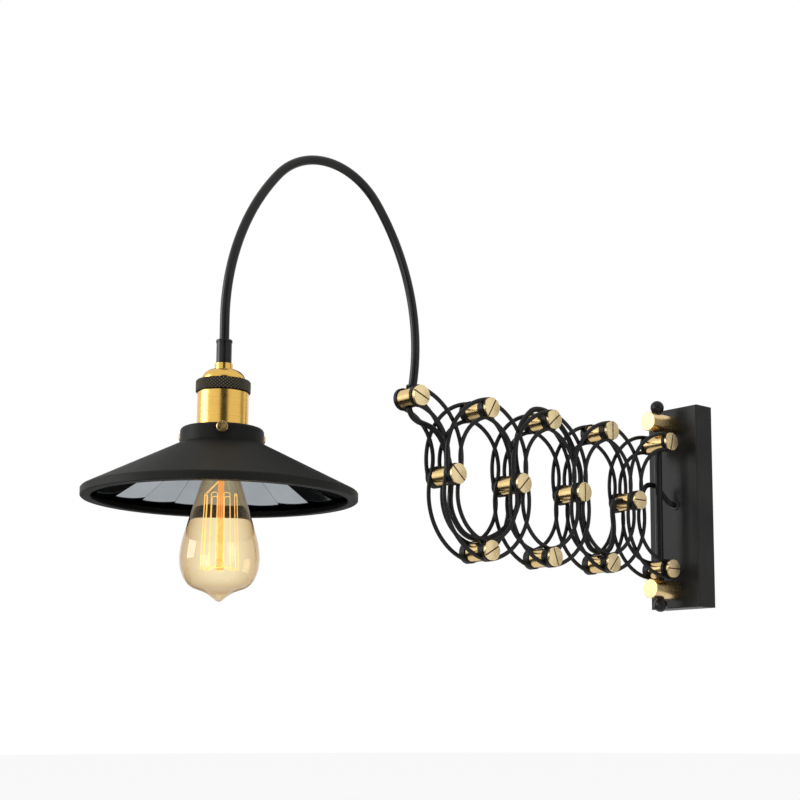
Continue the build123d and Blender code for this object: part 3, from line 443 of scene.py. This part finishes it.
def settle(thing, smooth_angle=35.0):
    """Leaves a finished piece at the origin with its place in its mesh, smooth across soft edges."""
    select_only(thing)
    bpy.ops.object.transform_apply(location=True, rotation=True, scale=True)
    bpy.ops.object.shade_smooth_by_angle(angle=math.radians(smooth_angle))


def pivot_screw(name, body, replaced, seat, turn):
    """One slotted screw along Y: its head from the seat outwards, its shank back to the barrel."""
    x, z = (place * mm for place in pivot_place(name))
    bpy.ops.object.select_all(action="DESELECT")
    bpy.ops.mesh.primitive_cylinder_add(
        vertices=72, radius=head_radius, depth=head_thickness, end_fill_type="NGON",
        location=(x, seat + head_thickness / 2, z), rotation=(-math.pi / 2, 0.0, 0.0),
    )
    screw = bpy.context.object
    screw.name = f"screw_{name}"
    bpy.ops.object.transform_apply(location=True, rotation=True, scale=True)
    mesh = screw.data
    bpy.ops.object.mode_set(mode="EDIT")
    bpy.ops.mesh.select_mode(type="FACE")
    select_where(mesh, "polygons", lambda face: face.normal.y < -0.9)
    bpy.ops.mesh.inset(thickness=head_radius - shank_radius)
    bpy.ops.mesh.extrude_region_move(TRANSFORM_OT_translate={"value": (0.0, barrel_end - seat, 0.0)})
    select_where(mesh, "polygons", lambda face: face.normal.y > 0.9)
    for ring_width, ring_depth in face_rings:
        bpy.ops.mesh.inset(thickness=ring_width, depth=-ring_depth)
    bpy.ops.mesh.select_mode(type="EDGE")
    front = seat + head_thickness

    def on_rim(edge):
        """An edge round the front of the head."""
        first, second = (mesh.vertices[index].co for index in edge.vertices)
        flat = abs(first.y - second.y) < tolerance
        return flat and math.hypot(first.x - x, first.z - z) > head_radius - tolerance

    select_where(mesh, "edges", on_rim)
    bpy.ops.mesh.bevel(offset=rim_softness, segments=3, profile=0.6)
    bpy.ops.object.mode_set(mode="OBJECT")
    bpy.ops.object.select_all(action="DESELECT")
    slot_turn = (0.0, -math.radians(turn), 0.0)
    bpy.ops.mesh.primitive_cube_add(size=1.0, location=(x, front, z), rotation=slot_turn)
    cutter = bpy.context.object
    cutter.scale = (3 * head_radius, 2 * slot_depth, 2 * slot_half_width)
    select_only(screw)
    slot = screw.modifiers.new("slot", "BOOLEAN")
    slot.object = cutter
    slot.operation = "DIFFERENCE"
    slot.solver = "EXACT"
    bpy.ops.object.modifier_apply(modifier="slot")
    bpy.data.objects.remove(cutter)
    settle(screw, 30.0)
    turned = screw.data.uv_layers.active or screw.data.uv_layers.new(name="turned")
    for corner in screw.data.loops:
        place = screw.data.vertices[corner.vertex_index].co
        turned.data[corner.index].uv = (place.x - x, place.z - z)
    screw.data.materials.clear()
    screw.data.materials.append(screw_brass.material)
    screw.data.materials.append(slot_shade_and_oxide.material)
    # Faces inside the slot take the dark slot finish, which is painted shade together with browned oxide.
    for face in screw.data.polygons:
        off_axis = math.hypot(face.center.x - x, face.center.z - z)
        in_slot = seat + rim_softness < face.center.y < front - rim_softness / 2
        face.material_index = 1 if in_slot and off_axis < head_radius - 2 * rim_softness else 0
    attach(screw, body)
    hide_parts(replaced)


screw_brass = Finish("faced_brass_screws", (0.86, 0.69, 0.38), 0.3, metallic=1.0)
face_place = screw_brass.node("UVMap")
face_radius = screw_brass.node("VectorMath", {0: face_place.outputs[0]}, operation="LENGTH")
face_lines = screw_brass.group(
    lathe_group, {"Position": face_radius.outputs["Value"], "Lines": 6500.0, "Place": screw_brass.place}
)
screw_brass.vary_colour(face_lines["Streaks"], (0.80, 0.61, 0.31), (0.93, 0.77, 0.47))
screw_brass.vary_roughness(face_lines["Patches"], 0.24, 0.38)
screw_brass.bump(face_lines["Height"], 0.3, 0.0001)

# Painted shade and browned oxide: the slot's faces are coloured a near-black brown, standing in for the shade
# inside the slot as well as the oxide in it.
slot_shade_and_oxide = Finish("shaded_browned_slot", (0.055, 0.032, 0.014), 0.55, metallic=0.5)
slot_grime = slot_shade_and_oxide.grain(grain=1800.0, patches=300.0)
slot_shade_and_oxide.vary_colour(slot_grime["Patches"], (0.03, 0.018, 0.009), (0.09, 0.055, 0.025))
slot_shade_and_oxide.vary_roughness(slot_grime["Patches"], 0.45, 0.65)

for name, body, replaced, turn in (
    ("b4", "lower_slider_body", "lower_pivot_screw", 0.0),
    ("t4", "upper_slider_body", "upper_pivot_screw", -76.0),
    ("m4", "arm_a4", "pivot_screws_a4", 0.0),
    ("t3", "arm_a3", "pivot_screws_a3", 90.0),
    ("b3", "arm_a4", "pivot_screws_a4", -50.0),
    ("m3", "arm_a3", "pivot_screws_a3", 90.0),
    ("t2", "arm_a2", "pivot_screws_a2", -40.0),
    ("b2", "arm_a3", "pivot_screws_a3", 69.0),
    ("m2", "arm_a2", "pivot_screws_a2", -45.0),
    ("t1", "arm_a1", "pivot_screws_a1", -60.0),
    ("b1", "arm_a2", "pivot_screws_a2", -30.0),
    ("m1", "arm_a1", "pivot_screws_a1", 42.0),
    ("t0", "lamp", "head_pivot_screw", 22.0),
):
    pivot_screw(name, body, replaced, head_joint_seat if name == "t0" else outer_seat, turn)


# ---------------------------------------------------------------- bent tube
# The lamp hangs from a steel tube bent in one high arch, enamelled satin black, with a small
# flange where it enters the head barrel and a beaded sleeve above the socket.

tube_black = Finish("enamelled_tube_black", (0.006, 0.006, 0.006), 0.26)
tube_black.shader.inputs["IOR"].default_value = 1.34
tube_skin = tube_black.grain(grain=800.0, patches=30.0)
tube_black.vary_roughness(tube_skin["Patches"], 0.22, 0.33)
tube_black.vary_colour(tube_skin["Patches"], (0.004, 0.004, 0.004), (0.009, 0.009, 0.008))
tube_black.bump(tube_skin["Height"], 0.06, 0.00015)
dress(tube_black.material, "gooseneck", "tube_ferrules")


# ---------------------------------------------------------------- socket cap and shell
# The socket is spun brass under an antique lacquer: a neck and dome, and a straight can with a
# bead at its foot. Brushing left fine lines round it, and the lacquer is a little uneven.

socket_brass = Finish("antique_brass", (0.70, 0.45, 0.12), 0.2, metallic=1.0)
socket_split = socket_brass.node("SeparateXYZ", {0: socket_brass.place})
socket_lines = socket_brass.group(
    lathe_group, {"Position": socket_split.outputs[2], "Lines": 5200.0, "Place": socket_brass.place}
)
socket_brass.vary_colour(socket_lines["Streaks"], (0.72, 0.43, 0.095), (0.80, 0.51, 0.13))
socket_brass.vary_roughness(socket_lines["Patches"], 0.21, 0.27)
socket_brass.bump(socket_lines["Height"], 0.06, 0.00006)
dress(socket_brass.material, "socket_cap", "socket_shell")


# ---------------------------------------------------------------- knurled ring
# The ring nut between the dome and the can is bronzed dark and has a diamond knurl rolled into
# its side, with a plain softened edge above and below. It turns on the cap's thread.

shell_low, shell_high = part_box("socket_shell")
lamp_x = (shell_low[0] + shell_high[0]) / 2
ring_low, ring_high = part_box("knurled_ring")
ring_foot = ring_low[2]
ring_top = ring_high[2]
ring_radius = (ring_high[0] - ring_low[0]) / 2
ring_bore = 18.2 * mm
knurl_steps = 88
knurl_rows = 6
knurl_height = 0.8 * mm
plain_edge = 1.0 * mm
knurl_foot = ring_foot + plain_edge
knurl_tall = ring_top - ring_foot - 2 * plain_edge
knurl_root = ring_radius - knurl_height

bpy.ops.object.select_all(action="DESELECT")
bpy.ops.mesh.primitive_cylinder_add(
    vertices=knurl_steps, radius=knurl_root, depth=ring_top - ring_foot, end_fill_type="NOTHING",
    location=(lamp_x, 0.0, (ring_top + ring_foot) / 2),
)
ring = bpy.context.object
ring.name = "knurled_ring_nut"
bpy.ops.object.transform_apply(location=True, rotation=True, scale=True)
bpy.ops.object.mode_set(mode="EDIT")
bpy.ops.mesh.select_mode(type="EDGE")
for row in range(knurl_rows + 1):
    cut_height = knurl_foot + knurl_tall * row / knurl_rows
    bpy.ops.mesh.select_all(action="SELECT")
    bpy.ops.mesh.bisect(plane_co=(lamp_x, 0.0, cut_height), plane_no=(0.0, 0.0, 1.0))
bpy.ops.mesh.select_mode(type="VERT")


def raised(vertex):
    """Every other crossing of the knurl stands up, row by row."""
    row = round((vertex.co.z - knurl_foot) / knurl_tall * knurl_rows)
    inside = ring_foot + 0.5 * plain_edge < vertex.co.z < ring_top - 0.5 * plain_edge
    step = round(math.atan2(vertex.co.y, vertex.co.x - lamp_x) / (2 * math.pi) * knurl_steps)
    return inside and (row + step) % 2 == 0


def on_end(edge):
    """An edge of the open top or foot."""
    heights = [ring.data.vertices[index].co.z for index in edge.vertices]
    return all(min(abs(height - ring_foot), abs(height - ring_top)) < tolerance for height in heights)


select_where(ring.data, "vertices", raised)
swell = ring_radius / knurl_root
bpy.ops.transform.resize(value=(swell, swell, 1.0), center_override=(lamp_x, 0.0, 0.0))
bpy.ops.mesh.select_all(action="SELECT")
bpy.ops.mesh.quads_convert_to_tris(quad_method="SHORTEST_DIAGONAL")
bpy.ops.mesh.select_mode(type="EDGE")
select_where(ring.data, "edges", on_end)
bpy.ops.mesh.extrude_edges_move()
inward = ring_bore / knurl_root
bpy.ops.transform.resize(value=(inward, inward, 1.0), center_override=(lamp_x, 0.0, 0.0))
bpy.ops.mesh.bridge_edge_loops()
bpy.ops.mesh.select_all(action="SELECT")
bpy.ops.mesh.normals_make_consistent(inside=False)
bpy.ops.object.mode_set(mode="OBJECT")
settle(ring, 20.0)

dark_bronze = Finish("dark_bronze", (0.17, 0.135, 0.095), 0.38, metallic=0.85)
bronze_grain = dark_bronze.grain(grain=1600.0, patches=160.0)
ring_off = dark_bronze.node("VectorMath", {0: dark_bronze.place, 1: (lamp_x, 0.0, 0.0)}, operation="SUBTRACT")
ring_flat = dark_bronze.node("VectorMath", {0: ring_off.outputs[0], 1: (1.0, 1.0, 0.0)}, operation="MULTIPLY")
ring_out = dark_bronze.node("VectorMath", {0: ring_flat.outputs[0]}, operation="LENGTH")
# Painted shade: the knurl's valleys are coloured near black and its tips light bronze, by their distance from
# the ring's axis.
painted_valley_shade = dark_bronze.node("MapRange", {
    "Value": ring_out.outputs["Value"], "From Min": knurl_root, "From Max": ring_radius,
})
dark_bronze.vary_colour(painted_valley_shade.outputs[0], (0.005, 0.004, 0.003), (0.20, 0.175, 0.125))
dark_bronze.vary_roughness(bronze_grain["Patches"], 0.42, 0.54)
dark_bronze.bump(bronze_grain["Height"], 0.15, 0.0001)
ring.data.materials.clear()
ring.data.materials.append(dark_bronze.material)
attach(ring, "lamp")
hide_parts("knurled_ring")


# ---------------------------------------------------------------- lampholder core and contacts
# A black moulded core inside the can insulates the contacts; a thin brass thread and a spring
# disc make them. They only show when the bulb is out.

core_black = Finish("black_moulding", (0.02, 0.019, 0.018), 0.5)
core_skin = core_black.grain(grain=1800.0, patches=70.0)
core_black.vary_roughness(core_skin["Patches"], 0.42, 0.56)
core_black.bump(core_skin["Height"], 0.1, 0.0001)
dress(core_black.material, "socket_insert")
dress(barrel_brass.material, "holder_contacts")


# ---------------------------------------------------------------- fitter and shade
# The fitter cap is pressed and the cone spun from steel sheet, with a rolled rim, and both are
# enamelled matt black. Three slotted brass screws in the fitter's side hold the cone's neck.

shade_black = Finish("matt_black_enamel", (0.011, 0.011, 0.010), 0.46)
shade_black.shader.inputs["IOR"].default_value = 1.17
enamel = shade_black.grain(grain=1300.0, patches=16.0)
shade_black.vary_roughness(enamel["Patches"], 0.42, 0.52)
shade_black.vary_colour(enamel["Patches"], (0.009, 0.009, 0.008), (0.013, 0.013, 0.012))
shade_black.bump(enamel["Height"], 0.12, 0.0002)
dress(shade_black.material, "shade", "shade_fitter")

small_brass = Finish("small_brass_screws", (0.62, 0.42, 0.18), 0.28, metallic=1.0)
small_marks = small_brass.grain(grain=2500.0, patches=400.0)
small_brass.vary_colour(small_marks["Patches"], (0.44, 0.28, 0.11), (0.74, 0.53, 0.25))
small_brass.vary_roughness(small_marks["Patches"], 0.24, 0.36)
dress(small_brass.material, "fitter_screws")


# ---------------------------------------------------------------- mirror strips
# Twenty strips of silvered glass lie side by side under the cone, with thin black gaps. The
# silvering is coloured a dark grey-blue, a painted shade for the dim surroundings it reflects, and is a
# little cloudy in places.

mirror = Finish("silvered_glass", (0.30, 0.33, 0.36), 0.06, metallic=1.0)
cloud = mirror.grain(grain=500.0, patches=24.0)
mirror.vary_roughness(cloud["Patches"], 0.03, 0.07)
mirror.vary_colour(cloud["Patches"], (0.31, 0.335, 0.36), (0.35, 0.375, 0.40))
mirror.bump(cloud["Height"], 0.02, 0.0001)
dress(mirror.material, "mirror_panels")


# ---------------------------------------------------------------- bulb
# The bulb is blown amber glass with a small tip, cemented in a brass screw cap. A glass stem
# carries one long filament wound up and down round a cage; the bulb is off, and both the stem and the
# filament are given a painted glow.

amber = Finish("amber_glass", (0.91, 0.79, 0.58), 0.0)
amber.shader.inputs["Transmission Weight"].default_value = 1.0
amber.shader.inputs["IOR"].default_value = 1.3
glass_skin = amber.grain(grain=60.0, patches=18.0)
edge_on = amber.node("LayerWeight", {"Blend": 0.42})
amber.vary_colour(edge_on.outputs["Facing"], (0.985, 0.91, 0.72), (0.46, 0.27, 0.085))
amber.bump(glass_skin["Patches"], 0.02, 0.0003)

dress(barrel_brass.material, "bulb_cap")

# Radius and height of the glass in millimetres, from the tip up to the rim in the screw cap.
outline = (
    (0.0, -129.6), (2.0, -129.0), (5.4, -126.2), (9.4, -123.0), (13.8, -121.2), (18.6, -119.8),
    (24.4, -117.3), (29.6, -110.2), (32.2, -100.0), (32.2, -91.0), (30.7, -81.0), (27.8, -71.0),
    (24.4, -60.0), (21.1, -49.0), (17.8, -38.0), (14.9, -28.0), (12.9, -21.0), (12.3, -15.0),
    (12.3, -9.0), (12.3, -2.3),
)
glass_wall = 0.8 * mm
neck_radius, neck_height = outline[-1]
bpy.ops.object.select_all(action="DESELECT")
bpy.ops.mesh.primitive_circle_add(
    vertices=48, radius=neck_radius * mm, location=(lamp_x, 0.0, neck_height * mm)
)
glass = bpy.context.object
glass.name = "bulb_envelope"
bpy.ops.object.transform_apply(location=True, rotation=True, scale=True)
bpy.ops.object.mode_set(mode="EDIT")
bpy.ops.mesh.select_mode(type="EDGE")
bpy.ops.mesh.select_all(action="SELECT")
for (wide, high), (narrow, low) in zip(outline[::-1], outline[-2:0:-1]):
    bpy.ops.mesh.extrude_edges_move(TRANSFORM_OT_translate={"value": (0.0, 0.0, (low - high) * mm)})
    bpy.ops.transform.resize(value=(narrow / wide, narrow / wide, 1.0), center_override=(lamp_x, 0.0, 0.0))
tip_drop = (outline[0][1] - outline[1][1]) * mm
bpy.ops.mesh.extrude_edges_move(TRANSFORM_OT_translate={"value": (0.0, 0.0, tip_drop)})
bpy.ops.mesh.merge(type="COLLAPSE")
bpy.ops.mesh.select_all(action="SELECT")
bpy.ops.mesh.normals_make_consistent(inside=False)
bpy.ops.object.mode_set(mode="OBJECT")
rounding = glass.modifiers.new("rounding", "SUBSURF")
rounding.levels = 2
rounding.render_levels = 2
bpy.ops.object.modifier_apply(modifier="rounding")
wall = glass.modifiers.new("wall", "SOLIDIFY")
wall.thickness = glass_wall
wall.offset = -1.0
bpy.ops.object.modifier_apply(modifier="wall")
settle(glass, 60.0)
glass.data.materials.append(amber.material)
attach(glass, "lamp")
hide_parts("bulb_glass")

stem_glass = Finish("orange_stem_glass", (1.0, 0.62, 0.30), 0.05)
stem_glass.shader.inputs["Transmission Weight"].default_value = 0.85
# Painted glow: the stem gives off a faint orange light of its own though the bulb is off.
stem_glass.shader.inputs["Emission Color"].default_value = (1.0, 0.42, 0.10, 1.0)
stem_glass.shader.inputs["Emission Strength"].default_value = 0.3
stem_skin = stem_glass.grain(grain=200.0, patches=80.0)
stem_glass.vary_colour(stem_skin["Patches"], (1.0, 0.66, 0.36), (0.95, 0.52, 0.22))
stem_glass.bump(stem_skin["Height"], 0.04, 0.0002)
dress(stem_glass.material, "bulb_stem")

wire = Finish("glowing_wire", (0.95, 0.50, 0.16), 0.35, metallic=0.4)
# Painted glow: the wire gives off an orange light of its own though the bulb is off, in patches of two tones.
wire.shader.inputs["Emission Strength"].default_value = 1.15
painted_glow_patches = wire.grain(grain=900.0, patches=110.0)
glow = wire.node("Mix", {
    0: painted_glow_patches["Patches"], mix_first: (1.0, 0.55, 0.13, 1.0), mix_second: (1.0, 0.74, 0.28, 1.0),
}, data_type="RGBA")
wire.tree.links.new(glow.outputs[mixed], wire.shader.inputs["Emission Color"])
wire.vary_roughness(painted_glow_patches["Patches"], 0.3, 0.5)
dress(wire.material, "filament")


# ---------------------------------------------------------------- rubber bush
# A moulded black rubber bush keeps the lead off the plate's edge where it goes in. Its groove
# snaps into the hole in the plate's front.

rubber = Finish("bush_rubber", (0.012, 0.012, 0.012), 0.55)
rubber_skin = rubber.grain(grain=1500.0, patches=90.0)
rubber.vary_roughness(rubber_skin["Patches"], 0.48, 0.65)
rubber.bump(rubber_skin["Height"], 0.15, 0.0001)
dress(rubber.material, "cord_grommet")


# ---------------------------------------------------------------- lead
# One round black lead runs from the lamp to the wall: out under the head barrel, along the links,
# over three barrels, through the last cross-drilled one and into the plate's bush. Each stretch that
# stays on one link is fixed to it, and two that part as the arm opens lap inside each other.

cord_radius = 2.75 * mm
# In millimetres: how high the lead crosses a barrel, and how far two stretches lap past its axis.
reach = 12.4
lap = 6.4
lap_share = 0.96
cord_black = Finish("cord_sheath", (0.005, 0.005, 0.005), 0.34)
cord_black.shader.inputs["IOR"].default_value = 1.3
sheath = cord_black.grain(grain=700.0, patches=60.0)
cord_black.vary_roughness(sheath["Patches"], 0.28, 0.42)
cord_black.vary_colour(sheath["Patches"], (0.004, 0.004, 0.004), (0.007, 0.007, 0.007))
cord_black.bump(sheath["Height"], 0.12, 0.0001)


def route(pivot, points):
    """Points given from a pivot, in millimetres across, up and forward, as places in metres."""
    pivot_x, pivot_z = pivot_place(pivot)
    return [
        ((pivot_x + point[0]) * mm, (point[2] if len(point) > 2 else 0.0) * mm, pivot_z * mm + point[1] * mm)
        for point in points
    ]


def lead(name, replaced, body, points, other=None, thin_first=0, thin_last=0):
    """A stretch of the lead as one smooth curve, fixed to its body; one that crosses a joint becomes a plain
    mesh instead, fixed to no body.

    The first or last points that lie inside another stretch, or inside the barrel, are thinner.
    """
    curve = bpy.data.curves.new(name, "CURVE")
    curve.dimensions = "3D"
    curve.resolution_u = 10
    spline = curve.splines.new("NURBS")
    spline.points.add(len(points) - 1)
    for index, (point, place) in enumerate(zip(spline.points, points)):
        point.co = (*place, 1.0)
        thin = index < thin_first or index >= len(points) - thin_last
        point.radius = lap_share if thin else 1.0
    spline.order_u = 3
    spline.use_endpoint_u = True
    piece = bpy.data.objects.new(name, curve)
    bpy.context.scene.collection.objects.link(piece)
    line = bpy.data.meshes.new_from_object(piece)
    curve.bevel_depth = cord_radius
    curve.bevel_resolution = 5
    curve.use_fill_caps = True
    if other:
        tube = bpy.data.meshes.new_from_object(piece)
        bpy.data.objects.remove(piece)
        piece = bpy.data.objects.new(name, tube)
        bpy.context.scene.collection.objects.link(piece)
        select_only(piece)
        bpy.ops.object.mode_set(mode="EDIT")
        bpy.ops.mesh.select_all(action="SELECT")
        bpy.ops.mesh.remove_doubles(threshold=0.00001)
        bpy.ops.mesh.normals_make_consistent(inside=False)
        bpy.ops.object.mode_set(mode="OBJECT")
        bpy.ops.object.shade_smooth_by_angle(angle=math.radians(60.0))
        piece.data.materials.clear()
        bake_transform(piece)
    piece.data.materials.append(cord_black.material)
    if not other:
        # After the material, because the ride also brings the curve's box up to date.
        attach(piece, body)
    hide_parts(replaced)


# The lower end of the leaning tube, in millimetres from the last pivot, where the lead comes out.
tube_lean = math.radians(10.4)
tube_end_reach = 9.85
tube_end = (tube_end_reach * math.sin(tube_lean), -tube_end_reach * math.cos(tube_lean))

lead(
    "lead_b1", "cord_b1", "arm_b1",
    route("b1", [(-lap, reach), (0.2, reach), (11.0, reach), (20.0, 17.5, -2.0), (28.0, 29.5, -4.0)])
    + route("m1", [(-10.5, -25.0, -5.5), (-12.4, -9.0, -6.2), (-13.0, 6.0, -6.2)])
    + route("t0", [
        (-49.0, -42.0, -6.2), (-40.0, -29.5, -5.5), (-29.5, -23.5, -3.5), (-18.0, -22.0, -1.5),
        (-6.5, -20.5), (0.4, -15.4), tube_end,
    ]),
    other="lamp", thin_first=1,
)
lead(
    "lead_a2", "cord_a2", "arm_a2",
    route("b1", [
        (lap, reach), (-0.2, reach), (-10.0, reach), (-25.0, 18.5), (-42.0, 31.0), (-52.0, 48.0),
    ])
    + route("m2", [(-13.4, 2.0), (-7.0, 21.0), (-6.0, 40.0)])
    + route("t2", [(27.5, -5.0), (17.5, 6.0), (9.0, reach), (0.2, reach)]),
    other="arm_b3", thin_first=1,
)
lead(
    "lead_b3", "cord_b3", "arm_b3",
    route("t2", [(-0.2, reach), (-9.5, reach), (-23.0, 4.0), (-37.0, -8.0), (-48.0, -25.0)])
    + route("m3", [(-15.0, 25.0), (-13.6, 2.0), (-13.0, -18.0), (-17.5, -34.5)])
    + route("b3", [(18.5, 19.0), (11.0, reach), (0.2, reach), (-lap, reach)]),
    thin_last=1,
)
lead(
    "lead_a4", "cord_a4", "arm_a4",
    route("b3", [(lap, reach), (-0.2, reach), (-9.5, reach), (-16.5, 18.0), (-20.5, 28.5)])
    + route("m4", [(21.0, -25.0), (22.5, -15.5), (22.5, -6.5), (16.0, 0.0), (-9.4, 0.0)]),
    thin_first=1,
)
lead(
    "lead_wall", "cord_wall", "rod",
    route("m4", [
        (15.0, 0.0), (2.0, 0.0), (-9.75, 0.0), (-18.5, 0.6, -0.5), (-26.0, 8.0, -2.4),
        (-33.0, 18.0, -5.4), (-43.5, 24.0, -7.7), (-55.0, 23.0, -7.7), (-62.0, 15.5, -5.2),
        (-65.5, 8.0, -1.4), (-69.0, 3.0, 2.7), (-87.4, 3.0, 2.7),
    ]),
    other="root", thin_first=2,
)
dress(cord_black.material, "cord_head")
